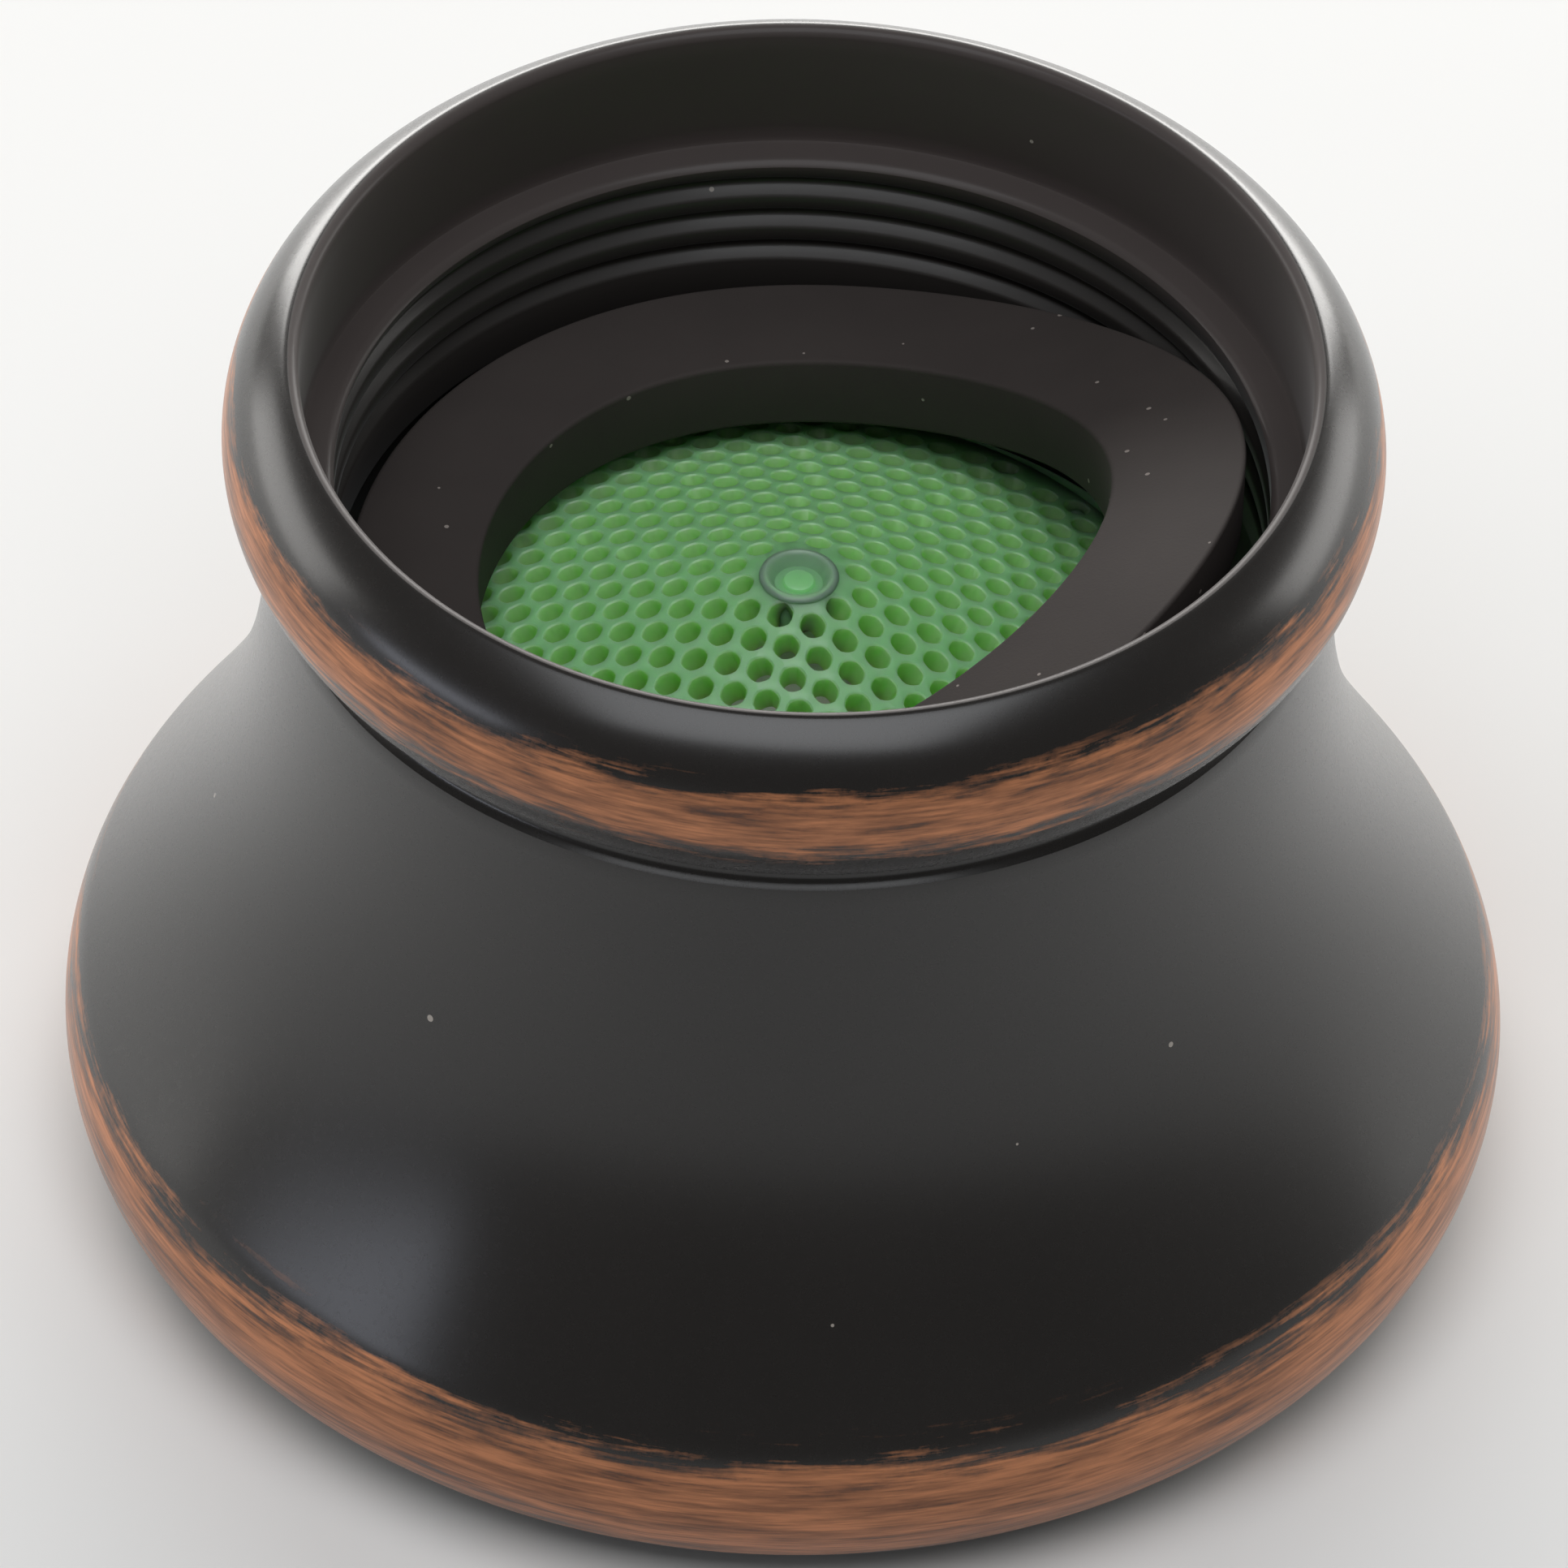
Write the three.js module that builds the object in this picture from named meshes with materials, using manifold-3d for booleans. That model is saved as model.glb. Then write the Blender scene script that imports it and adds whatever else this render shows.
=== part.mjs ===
// A faucet aerator: a pot-shaped metal housing with a female thread in its mouth, a loose rubber washer
// lying tilted in it, and the plastic cartridge under the washer: a perforated strainer cone, a flow
// regulator with its O-ring, a jet plate, two mixing screens and an outlet grille, all in one shell.
// Millimetres, +Z up, origin at the centre of the ring that the housing stands on.
import * as THREE from "three";
import { mergeVertices } from "three/addons/utils/BufferGeometryUtils.js";
import Module from "manifold-3d";

const wasm = await Module();
wasm.setup();

// Driving dimensions.
const GAP = 0.3; // clearance kept between pieces that touch on the real object
const ROUND = 60; // sides of the large turned pieces
const SMALL_ROUND = 40; // sides of the pieces inside the cartridge

// Housing, outside.
const REST_RING_INNER = 11.8;
const FOOT_CORNER_RADIUS = 3.2; // quarter-round from the rest ring up to the belly
const BELLY_RADIUS = 16.47;
const NECK_RADIUS = 11.62;
const NECK_BOTTOM_Z = 18.0;
const BEAD_TUBE_RADIUS = 2.52; // rolled rim
const BEAD_CENTRE_RADIUS = 10.38;
const BEAD_CENTRE_Z = 20.5;

// Housing, inside.
const MOUTH_RADIUS = 11.2; // smooth lead-in above the thread
const MOUTH_EDGE_Z = 22.45;
const SHOULDER_Z = 19.5; // the lead-in ends on this shoulder
const THREAD_ROOT_RADIUS = 10.92; // 55/64-27 UNS, female
const THREAD_CREST_RADIUS = 10.41;
const THREAD_PITCH = 0.941;
const THREAD_TURNS = 3;
const THREAD_FADE_TURNS = 0.2; // the groove runs out over this much of a turn at each end
const THREAD_START_ANGLE = THREE.MathUtils.degToRad(120);
const THREAD_FIRST_Z = 16.1;
const THREAD_ZONE_BOTTOM_Z = 15.5;
const BORE_RADIUS = 10.7; // room for the cartridge
const LEDGE_TOP_Z = 3.0; // the cartridge stands on this ledge
const LEDGE_BOTTOM_Z = 1.7;
const OUTLET_RADIUS = 8.4;

// Washer: a flat ring that lies tilted and a little warped.
const WASHER_INNER_RADIUS = 7.05;
const WASHER_OUTER_RADIUS = 9.95;
const WASHER_THICKNESS = 1.9;
const WASHER_OFFSET_X = -0.15;
const WASHER_MEAN_TOP_Z = 17.11;
const WASHER_TILT = 2.08; // rise at the inner edge, towards the high side
const WASHER_TILT_ANGLE = THREE.MathUtils.degToRad(-10);
const WASHER_SADDLE = 0.8; // twist at the inner edge
const WASHER_SADDLE_ANGLE = THREE.MathUtils.degToRad(-30.5);
const WASHER_LOWEST_TOP_Z = 16.0; // top of the ring where it lies flat on the strainer
const WASHER_BEND = 0.5; // how gently it leaves the strainer

// Strainer cone.
const CONE_TIP_Z = 16.6; // where its sides would meet
const CONE_SLOPE = 0.38;
const CONE_EDGE_RADIUS = 8.3;
const CONE_WALL = 0.86; // along Z
const CONE_HOLE_RADIUS = 0.52;
const CONE_HOLE_PITCH = 1.6;
const CONE_HOLE_DIRECTION = THREE.MathUtils.degToRad(-17.4);
const GATE_TOP_Z = 16.4; // moulding gate in place of the tip
const STRAINER_FLANGE_RADIUS = 9.9;
const STRAINER_FLANGE_TOP_Z = 12.5;
const STRAINER_FLANGE_BOTTOM_Z = 11.9;

// Cartridge shell.
const SHELL_BOTTOM_Z = LEDGE_TOP_Z + GAP;
const SHELL_TOP_Z = STRAINER_FLANGE_BOTTOM_Z - GAP;
const SHELL_OUTER_RADIUS = 9.5;
const SHELL_INNER_RADIUS = 8.5;
const SHELL_FLANGE_RADIUS = 10.2;
const SHELL_FLANGE_THICKNESS = 0.8;
const SHELL_LIP_RADIUS = 7.6;
const SHELL_LIP_THICKNESS = 0.8;
const AIR_WINDOWS = 8;
const AIR_WINDOW_WIDTH = 2.4;
const AIR_WINDOW_BOTTOM_Z = 7.5;
const AIR_WINDOW_HEIGHT = 1.0;

// Discs inside the shell, from the outlet up.
const DISC_RADIUS = SHELL_INNER_RADIUS - 0.35;
const DISC_RIM = 0.9;
const GRILLE_THICKNESS = 0.8;
const GRILLE_BOTTOM_Z = SHELL_BOTTOM_Z + SHELL_LIP_THICKNESS + GAP;
const SCREEN_THICKNESS = 0.3;
const LOWER_SCREEN_Z = GRILLE_BOTTOM_Z + GRILLE_THICKNESS + GAP;
const SPACER_BOTTOM_Z = LOWER_SCREEN_Z + SCREEN_THICKNESS + GAP;
const SPACER_HEIGHT = 0.5;
const UPPER_SCREEN_Z = SPACER_BOTTOM_Z + SPACER_HEIGHT + GAP;
const JET_PLATE_BOTTOM_Z = AIR_WINDOW_BOTTOM_Z + AIR_WINDOW_HEIGHT + GAP;
const JET_PLATE_THICKNESS = 0.8;
const REGULATOR_BOTTOM_Z = JET_PLATE_BOTTOM_Z + JET_PLATE_THICKNESS + GAP;
const REGULATOR_PLATE_THICKNESS = 0.5;
const O_RING_CENTRE_RADIUS = 4.7;
const O_RING_TUBE_RADIUS = 0.9;

const point = (radius, z) => new THREE.Vector2(radius, z);

// Points along a circular arc of a profile, angles in degrees from the +radius direction.
function arc(radius, z, size, fromDegrees, toDegrees, steps) {
  const from = THREE.MathUtils.degToRad(fromDegrees);
  const to = THREE.MathUtils.degToRad(toDegrees);
  return Array.from({ length: steps + 1 }, (_, i) => {
    const a = from + ((to - from) * i) / steps;
    return point(radius + size * Math.cos(a), z + size * Math.sin(a));
  });
}

// A profile turned about the Z axis.
function turned(profile, sides) {
  return new THREE.LatheGeometry(profile, sides).rotateX(Math.PI / 2);
}

// The two strips of corner numbers that a span between two sections runs along, one pair for each step.
function straightPath(corners) {
  return Array.from({ length: corners + 1 }, (_, i) => [i % corners, i % corners]);
}

// A ring skinned over sections with equally many corners. lastPath pairs the corners of the last section
// with those of the first, where the ring closes.
function ringSkin(sections, lastPath) {
  const corners = sections[0].length;
  const path = straightPath(corners);
  const faces = [];
  sections.forEach((_, i) => {
    const closing = i === sections.length - 1;
    const here = i * corners;
    const there = closing ? 0 : here + corners;
    const pairs = closing ? lastPath : path;
    for (let k = 0; k < pairs.length - 1; k += 1) {
      const [a, b] = pairs[k];
      const [aNext, bNext] = pairs[k + 1];
      if (a !== aNext) faces.push(here + a, there + b, here + aNext);
      if (b !== bNext) faces.push(here + aNext, there + b, there + bNext);
    }
  });
  const positions = sections.flat().flatMap((p) => [p.x, p.y, p.z]);
  const geometry = new THREE.BufferGeometry();
  geometry.setAttribute("position", new THREE.Float32BufferAttribute(positions, 3));
  geometry.setIndex(faces);
  return geometry;
}

function toSolid(geometry) {
  const bare = geometry.clone();
  bare.deleteAttribute("normal");
  bare.deleteAttribute("uv");
  const merged = mergeVertices(bare, 1e-4);
  return new wasm.Manifold(
    new wasm.Mesh({
      numProp: 3,
      vertProperties: new Float32Array(merged.attributes.position.array),
      triVerts: new Uint32Array(merged.index.array),
    }),
  );
}

function toGeometry(solid) {
  const mesh = solid.getMesh();
  const geometry = new THREE.BufferGeometry();
  geometry.setAttribute("position", new THREE.Float32BufferAttribute(mesh.vertProperties, 3));
  geometry.setIndex([...mesh.triVerts]);
  return geometry;
}

function joined(geometries) {
  return geometries.map(toSolid).reduce((whole, next) => whole.add(next));
}

function cut(solid, cutters) {
  return cutters.map(toSolid).reduce((left, cutter) => left.subtract(cutter), solid);
}

function named(name, geometry, colour, roughness, metalness) {
  const flat = geometry.index ? geometry.toNonIndexed() : geometry;
  flat.computeVertexNormals();
  const material = new THREE.MeshStandardMaterial({ color: colour, roughness, metalness });
  const mesh = new THREE.Mesh(flat, material);
  mesh.name = name;
  return mesh;
}

// Centres of a hexagonal or square lattice that lie between two radii.
function lattice(pitch, rowPitch, shift, direction, innerRadius, outerRadius) {
  const reach = Math.ceil(outerRadius / rowPitch) + 1;
  const centres = [];
  for (let row = -reach; row <= reach; row += 1) {
    for (let column = -2 * reach; column <= 2 * reach; column += 1) {
      const along = (column + shift * Math.abs(row % 2)) * pitch;
      const centre = new THREE.Vector2(along, row * rowPitch);
      centre.rotateAround(new THREE.Vector2(), direction);
      const distance = centre.length();
      if (distance >= innerRadius && distance <= outerRadius) centres.push(centre);
    }
  }
  return centres;
}

function hexagonalLattice(pitch, direction, innerRadius, outerRadius) {
  return lattice(pitch, pitch * Math.sin(Math.PI / 3), 0.5, direction, innerRadius, outerRadius);
}

// A closed outline with equal sides, for holes.
function polygon(centre, radius, sides, startAngle) {
  const outline = new THREE.Path();
  for (let i = 0; i <= sides; i += 1) {
    const a = startAngle - (2 * Math.PI * i) / sides;
    const x = centre.x + radius * Math.cos(a);
    const y = centre.y + radius * Math.sin(a);
    if (i === 0) outline.moveTo(x, y);
    else outline.lineTo(x, y);
  }
  return outline;
}

// A flat disc with holes, lying between bottomZ and bottomZ + thickness.
function perforatedDisc(radius, thickness, bottomZ, holes) {
  const shape = new THREE.Shape();
  shape.absarc(0, 0, radius, 0, 2 * Math.PI, false);
  shape.holes = holes;
  const settings = { depth: thickness, bevelEnabled: false, curveSegments: SMALL_ROUND };
  return new THREE.ExtrudeGeometry(shape, settings).translate(0, 0, bottomZ);
}

// Profile from the rest ring up the outside and down into the mouth, as far as the thread.
function housingAboveThread() {
  const footCentre = BELLY_RADIUS - FOOT_CORNER_RADIUS;
  const flare = new THREE.SplineCurve([
    point(BELLY_RADIUS, FOOT_CORNER_RADIUS),
    point(16.03, 4.85),
    point(14.51, 7.32),
    point(12.98, 10.62),
    point(12.15, 13.91),
    point(11.88, NECK_BOTTOM_Z - 0.2),
  ]);
  return [
    ...arc(footCentre, FOOT_CORNER_RADIUS, FOOT_CORNER_RADIUS, -90, -15, 3),
    ...flare.getPoints(10),
    point(NECK_RADIUS, NECK_BOTTOM_Z),
    ...arc(BEAD_CENTRE_RADIUS, BEAD_CENTRE_Z, BEAD_TUBE_RADIUS, -60, 66, 8),
    point(MOUTH_RADIUS, MOUTH_EDGE_Z),
    point(MOUTH_RADIUS, SHOULDER_Z),
    point(THREAD_CREST_RADIUS + 0.14, SHOULDER_Z),
    point(THREAD_CREST_RADIUS, SHOULDER_Z - 0.14),
  ];
}

// Profile from under the thread down the bore, over the ledge and out to the rest ring again.
function housingBelowThread() {
  return [
    point(THREAD_CREST_RADIUS, THREAD_ZONE_BOTTOM_Z + 0.15),
    point(BORE_RADIUS, THREAD_ZONE_BOTTOM_Z),
    point(BORE_RADIUS, LEDGE_TOP_Z),
    point(OUTLET_RADIUS, LEDGE_TOP_Z),
    point(OUTLET_RADIUS, LEDGE_BOTTOM_Z),
    point(REST_RING_INNER - 0.4, 0.5),
    point(REST_RING_INNER, 0),
  ];
}

// One groove of the thread, from its upper edge to its lower one, after a number of turns up the helix.
// The groove fades into the wall at both ends of the thread.
function threadGroove(turns) {
  const z = THREAD_FIRST_Z + THREAD_PITCH * turns;
  const mouthHalf = (THREAD_PITCH * 3) / 8;
  const rootHalf = THREAD_PITCH / 16;
  const depth = Math.min(1, turns / THREAD_FADE_TURNS, (THREAD_TURNS - turns) / THREAD_FADE_TURNS);
  const root = THREAD_CREST_RADIUS + depth * (THREAD_ROOT_RADIUS - THREAD_CREST_RADIUS);
  return [
    point(THREAD_CREST_RADIUS, z + mouthHalf),
    point(root, z + rootHalf),
    point(root, z - rootHalf),
    point(THREAD_CREST_RADIUS, z - mouthHalf),
  ];
}

// Where the helix has gone once round, each groove meets the one above it. The top groove has faded by
// then, so its corners close on the wall above, and the bottom groove starts from the wall below.
function threadClosingPath(above, grooveCorners, total) {
  const path = [];
  for (let i = 0; i < above; i += 1) path.push([i, i]);
  for (let i = 0; i < grooveCorners; i += 1) path.push([above + i, above - 1]);
  const firstBelow = above + THREAD_TURNS * grooveCorners;
  for (let i = above + grooveCorners; i <= firstBelow; i += 1) path.push([i, i - grooveCorners]);
  for (let i = firstBelow - grooveCorners + 1; i <= firstBelow; i += 1) path.push([firstBelow, i]);
  for (let i = firstBelow + 1; i <= total; i += 1) path.push([i % total, i % total]);
  return path;
}

function housing() {
  const above = housingAboveThread();
  const below = housingBelowThread();
  const sections = Array.from({ length: ROUND }, (_, i) => {
    const share = i / ROUND;
    const grooves = Array.from({ length: THREAD_TURNS }, (_, k) =>
      threadGroove(THREAD_TURNS - 1 - k + share),
    ).flat();
    const angle = THREAD_START_ANGLE + 2 * Math.PI * share;
    return [...above, ...grooves, ...below].map(
      (p) => new THREE.Vector3(p.x * Math.cos(angle), p.x * Math.sin(angle), p.y),
    );
  });
  const path = threadClosingPath(above.length, threadGroove(0).length, sections[0].length);
  return named("housing", ringSkin(sections, path), 0x2a2523, 0.42, 0.7);
}

// Height of the washer's top face over a point of the ring.
function washerTop(radius, angle) {
  const share = radius / WASHER_INNER_RADIUS;
  const tilt = WASHER_TILT * Math.cos(angle - WASHER_TILT_ANGLE);
  const twist = WASHER_SADDLE * Math.cos(2 * (angle - WASHER_SADDLE_ANGLE));
  const free = WASHER_MEAN_TOP_Z + share * (tilt + twist) - WASHER_LOWEST_TOP_Z;
  return WASHER_LOWEST_TOP_Z + (free + Math.hypot(free, WASHER_BEND)) / 2;
}

function sealingWasher() {
  const middle = (WASHER_INNER_RADIUS + WASHER_OUTER_RADIUS) / 2;
  const radii = [WASHER_INNER_RADIUS, middle, WASHER_OUTER_RADIUS];
  const sections = [];
  for (let i = 0; i < ROUND; i += 1) {
    const angle = (2 * Math.PI * i) / ROUND;
    const place = (radius, drop) =>
      new THREE.Vector3(
        WASHER_OFFSET_X + radius * Math.cos(angle),
        radius * Math.sin(angle),
        washerTop(radius, angle) - drop,
      );
    const bottom = radii.map((radius) => place(radius, WASHER_THICKNESS));
    const top = [...radii].reverse().map((radius) => place(radius, 0));
    sections.push([...bottom, ...top]);
  }
  const ring = ringSkin(sections, straightPath(sections[0].length));
  return named("sealing_washer", ring, 0x2b2422, 0.9, 0);
}

function strainerProfile() {
  const coneZ = (radius) => CONE_TIP_Z - CONE_SLOPE * radius;
  const innerEdge = CONE_EDGE_RADIUS - 0.8;
  const skirtOuter = SHELL_INNER_RADIUS - GAP;
  const skirtInner = skirtOuter - 0.7;
  const skirtBottomZ = STRAINER_FLANGE_BOTTOM_Z - 0.8;
  return [
    point(0, coneZ(0) - CONE_WALL),
    point(innerEdge, coneZ(innerEdge) - CONE_WALL),
    point(innerEdge, STRAINER_FLANGE_TOP_Z),
    point(skirtInner, STRAINER_FLANGE_BOTTOM_Z),
    point(skirtInner, skirtBottomZ),
    point(skirtOuter, skirtBottomZ),
    point(skirtOuter, STRAINER_FLANGE_BOTTOM_Z),
    point(STRAINER_FLANGE_RADIUS, STRAINER_FLANGE_BOTTOM_Z),
    point(STRAINER_FLANGE_RADIUS, STRAINER_FLANGE_TOP_Z),
    point(CONE_EDGE_RADIUS + 0.15, STRAINER_FLANGE_TOP_Z),
    point(CONE_EDGE_RADIUS, coneZ(CONE_EDGE_RADIUS)),
    point(1.0, coneZ(1.0)),
    point(0.88, GATE_TOP_Z),
    point(0.76, GATE_TOP_Z),
    point(0.6, GATE_TOP_Z - 0.3),
    point(0.42, GATE_TOP_Z - 0.3),
    point(0.32, GATE_TOP_Z - 0.2),
    point(0, GATE_TOP_Z - 0.2),
  ];
}

function strainerCone() {
  const firstHole = 1.6;
  const lastHole = CONE_EDGE_RADIUS - 0.9 - CONE_HOLE_RADIUS;
  const centres = hexagonalLattice(CONE_HOLE_PITCH, CONE_HOLE_DIRECTION, firstHole, lastHole);
  const depth = 6;
  const drills = centres.map((centre) =>
    new THREE.CylinderGeometry(CONE_HOLE_RADIUS, CONE_HOLE_RADIUS, depth, 6)
      .rotateX(Math.PI / 2)
      .translate(centre.x, centre.y, GATE_TOP_Z - 1.5),
  );
  const blank = toSolid(turned(strainerProfile(), SMALL_ROUND));
  return named("strainer_cone", toGeometry(cut(blank, drills)), 0x4fa35a, 0.45, 0);
}

function insertShell() {
  const flangeBottomZ = SHELL_TOP_Z - SHELL_FLANGE_THICKNESS;
  const tube = turned(
    [
      point(SHELL_LIP_RADIUS, SHELL_BOTTOM_Z),
      point(SHELL_OUTER_RADIUS - GAP, SHELL_BOTTOM_Z),
      point(SHELL_OUTER_RADIUS, SHELL_BOTTOM_Z + GAP),
      point(SHELL_OUTER_RADIUS, flangeBottomZ),
      point(SHELL_FLANGE_RADIUS, flangeBottomZ),
      point(SHELL_FLANGE_RADIUS, SHELL_TOP_Z),
      point(SHELL_INNER_RADIUS, SHELL_TOP_Z),
      point(SHELL_INNER_RADIUS, SHELL_BOTTOM_Z + SHELL_LIP_THICKNESS),
      point(SHELL_LIP_RADIUS, SHELL_BOTTOM_Z + SHELL_LIP_THICKNESS),
      point(SHELL_LIP_RADIUS, SHELL_BOTTOM_Z),
    ],
    SMALL_ROUND,
  );
  const wallMiddle = (SHELL_OUTER_RADIUS + SHELL_INNER_RADIUS) / 2;
  const windows = Array.from({ length: AIR_WINDOWS }, (_, i) =>
    new THREE.BoxGeometry(3, AIR_WINDOW_WIDTH, AIR_WINDOW_HEIGHT)
      .translate(wallMiddle, 0, AIR_WINDOW_BOTTOM_Z + AIR_WINDOW_HEIGHT / 2)
      .rotateZ((2 * Math.PI * i) / AIR_WINDOWS),
  );
  return named("insert_shell", toGeometry(cut(toSolid(tube), windows)), 0xd8d8d2, 0.5, 0);
}

// The flow regulator: a slotted plate, a star-shaped hub and the wall that the O-ring spreads against.
function regulatorBody() {
  const plateTopZ = REGULATOR_BOTTOM_Z + REGULATOR_PLATE_THICKNESS;
  const channel = Array.from({ length: 12 }, (_, i) => {
    const angle = (2 * Math.PI * i) / 12;
    const centre = new THREE.Vector2(O_RING_CENTRE_RADIUS, 0).rotateAround(new THREE.Vector2(), angle);
    return polygon(centre, 0.7, 8, 0);
  });
  const plate = perforatedDisc(DISC_RADIUS, REGULATOR_PLATE_THICKNESS, REGULATOR_BOTTOM_Z, channel);

  const lobes = 10;
  const star = new THREE.Shape();
  for (let i = 0; i < 2 * lobes; i += 1) {
    const radius = i % 2 === 0 ? 3.4 : 2.9;
    const angle = (Math.PI * i) / lobes;
    const x = radius * Math.cos(angle);
    const y = radius * Math.sin(angle);
    if (i === 0) star.moveTo(x, y);
    else star.lineTo(x, y);
  }
  const sunk = 0.2;
  const hub = new THREE.ExtrudeGeometry(star, { depth: 1.6 + sunk, bevelEnabled: false });
  hub.translate(0, 0, plateTopZ - sunk);

  const wallBottomZ = plateTopZ - sunk;
  const wallTopZ = plateTopZ + 1.1;
  const wall = turned(
    [
      point(6.1, wallBottomZ),
      point(6.8, wallBottomZ),
      point(6.8, wallTopZ),
      point(6.1, wallTopZ),
      point(6.1, wallBottomZ),
    ],
    SMALL_ROUND,
  );
  return named("regulator_body", toGeometry(joined([plate, hub, wall])), 0xe6e6e0, 0.45, 0);
}

function regulatorORing() {
  const centreZ = REGULATOR_BOTTOM_Z + REGULATOR_PLATE_THICKNESS + GAP + O_RING_TUBE_RADIUS;
  const ring = new THREE.TorusGeometry(O_RING_CENTRE_RADIUS, O_RING_TUBE_RADIUS, 10, 32);
  return named("regulator_o_ring", ring.translate(0, 0, centreZ), 0x1c1c1c, 0.7, 0);
}

function jetPlate() {
  const rows = [
    { radius: 3.2, count: 9 },
    { radius: 6.0, count: 18 },
  ];
  const jets = rows.flatMap(({ radius, count }) =>
    Array.from({ length: count }, (_, i) => {
      const angle = (2 * Math.PI * i) / count;
      const centre = new THREE.Vector2(radius, 0).rotateAround(new THREE.Vector2(), angle);
      return polygon(centre, 0.5, 8, 0);
    }),
  );
  const plate = perforatedDisc(DISC_RADIUS, JET_PLATE_THICKNESS, JET_PLATE_BOTTOM_Z, jets);
  return named("jet_plate", plate, 0xf0f0ec, 0.45, 0);
}

function screen(name, bottomZ, direction) {
  const pitch = 1.9;
  const halfDiagonal = 0.85;
  const centres = lattice(pitch, pitch, 0, direction, 0, DISC_RADIUS - DISC_RIM - 0.5);
  const openings = centres.map((c) => polygon(c, halfDiagonal, 4, direction + Math.PI / 4));
  const mesh = perforatedDisc(DISC_RADIUS, SCREEN_THICKNESS, bottomZ, openings);
  return named(name, mesh, 0x9a9c9e, 0.35, 1);
}

function screenSpacer() {
  const inner = DISC_RADIUS - DISC_RIM;
  const top = SPACER_BOTTOM_Z + SPACER_HEIGHT;
  const ring = turned(
    [
      point(inner, SPACER_BOTTOM_Z),
      point(DISC_RADIUS, SPACER_BOTTOM_Z),
      point(DISC_RADIUS, top),
      point(inner, top),
      point(inner, SPACER_BOTTOM_Z),
    ],
    SMALL_ROUND,
  );
  return named("screen_spacer", ring, 0xf0f0ec, 0.5, 0);
}

function outletGrille() {
  const pitch = 2.2;
  const cellRadius = 1.0;
  const centres = hexagonalLattice(pitch, 0, 0, DISC_RADIUS - DISC_RIM - 0.4);
  const cells = centres.map((centre) => polygon(centre, cellRadius, 6, Math.PI / 6));
  const grille = perforatedDisc(DISC_RADIUS, GRILLE_THICKNESS, GRILLE_BOTTOM_Z, cells);
  return named("outlet_grille", grille, 0xe6e6e0, 0.5, 0);
}

const aerator = new THREE.Group();
const cartridge = new THREE.Group();
cartridge.add(
  insertShell(),
  regulatorBody(),
  regulatorORing(),
  jetPlate(),
  screen("upper_screen", UPPER_SCREEN_Z, THREE.MathUtils.degToRad(52)),
  screenSpacer(),
  screen("lower_screen", LOWER_SCREEN_Z, THREE.MathUtils.degToRad(11)),
  outletGrille(),
);
aerator.add(housing(), sealingWasher(), strainerCone(), cartridge);

export default aerator;
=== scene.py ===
import math

import bpy
import numpy as np
from mathutils import Matrix, Vector
from mathutils.geometry import delaunay_2d_cdt


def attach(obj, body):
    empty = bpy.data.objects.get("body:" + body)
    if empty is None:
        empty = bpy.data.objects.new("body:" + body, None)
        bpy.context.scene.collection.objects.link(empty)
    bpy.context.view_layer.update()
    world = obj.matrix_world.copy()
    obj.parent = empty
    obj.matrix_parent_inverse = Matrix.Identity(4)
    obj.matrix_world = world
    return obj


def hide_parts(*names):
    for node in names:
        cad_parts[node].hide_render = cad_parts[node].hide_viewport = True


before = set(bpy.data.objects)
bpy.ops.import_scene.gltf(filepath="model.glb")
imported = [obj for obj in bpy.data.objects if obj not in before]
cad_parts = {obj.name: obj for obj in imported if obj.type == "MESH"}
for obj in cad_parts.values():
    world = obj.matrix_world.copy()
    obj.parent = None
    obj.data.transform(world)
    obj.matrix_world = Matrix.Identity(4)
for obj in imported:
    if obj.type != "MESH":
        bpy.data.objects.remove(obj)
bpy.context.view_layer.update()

MM = 0.001

# Camera, with its clip distances in metres.
CAMERA_TARGET = (-0.165, 0.0, 9.91)
CAMERA_DISTANCE = 329.4
CAMERA_ELEVATION = math.radians(43.32)
CAMERA_ROLL = math.radians(2.11)
CAMERA_LENS = 333.9
CAMERA_SENSOR = 36.0
CAMERA_CLIP = (0.01, 10)

# Housing, outside. A copper band is its low and high angle, in degrees up the curve that it lies on, and how
# far it fades at each of them.
HOUSING_SIDES = 288
REST_RING_INNER = 11.8
FOOT_CORNER_RADIUS = 3.2
FOOT_COPPER = (-44, 90, 34, 1)
BELLY_RADIUS = 16.47
SHOULDER_CORNER_RADIUS = 3.33
SHOULDER_CORNER_END = 32.7
SHOULDER_COPPER = (-90, 21, 1, 34)
FLARE_HANDLES = ((12.89, 9.75), (11.98, 12.33))
NECK_RADIUS = 11.62
NECK_BOTTOM_Z = 18.0
BEAD_TUBE_RADIUS = 2.52
BEAD_CENTRE_RADIUS = 10.38
BEAD_CENTRE_Z = 20.5
BEAD_ANGLES = (-58, 60)
BEAD_COPPER = (-14, 22, 32, 26)
LIP_CORNER_RADIUS = 0.25
LIP_CENTRE_RADIUS = 11.45
LIP_CENTRE_Z = 22.502
LIP_ANGLES = (66, 168)

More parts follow.
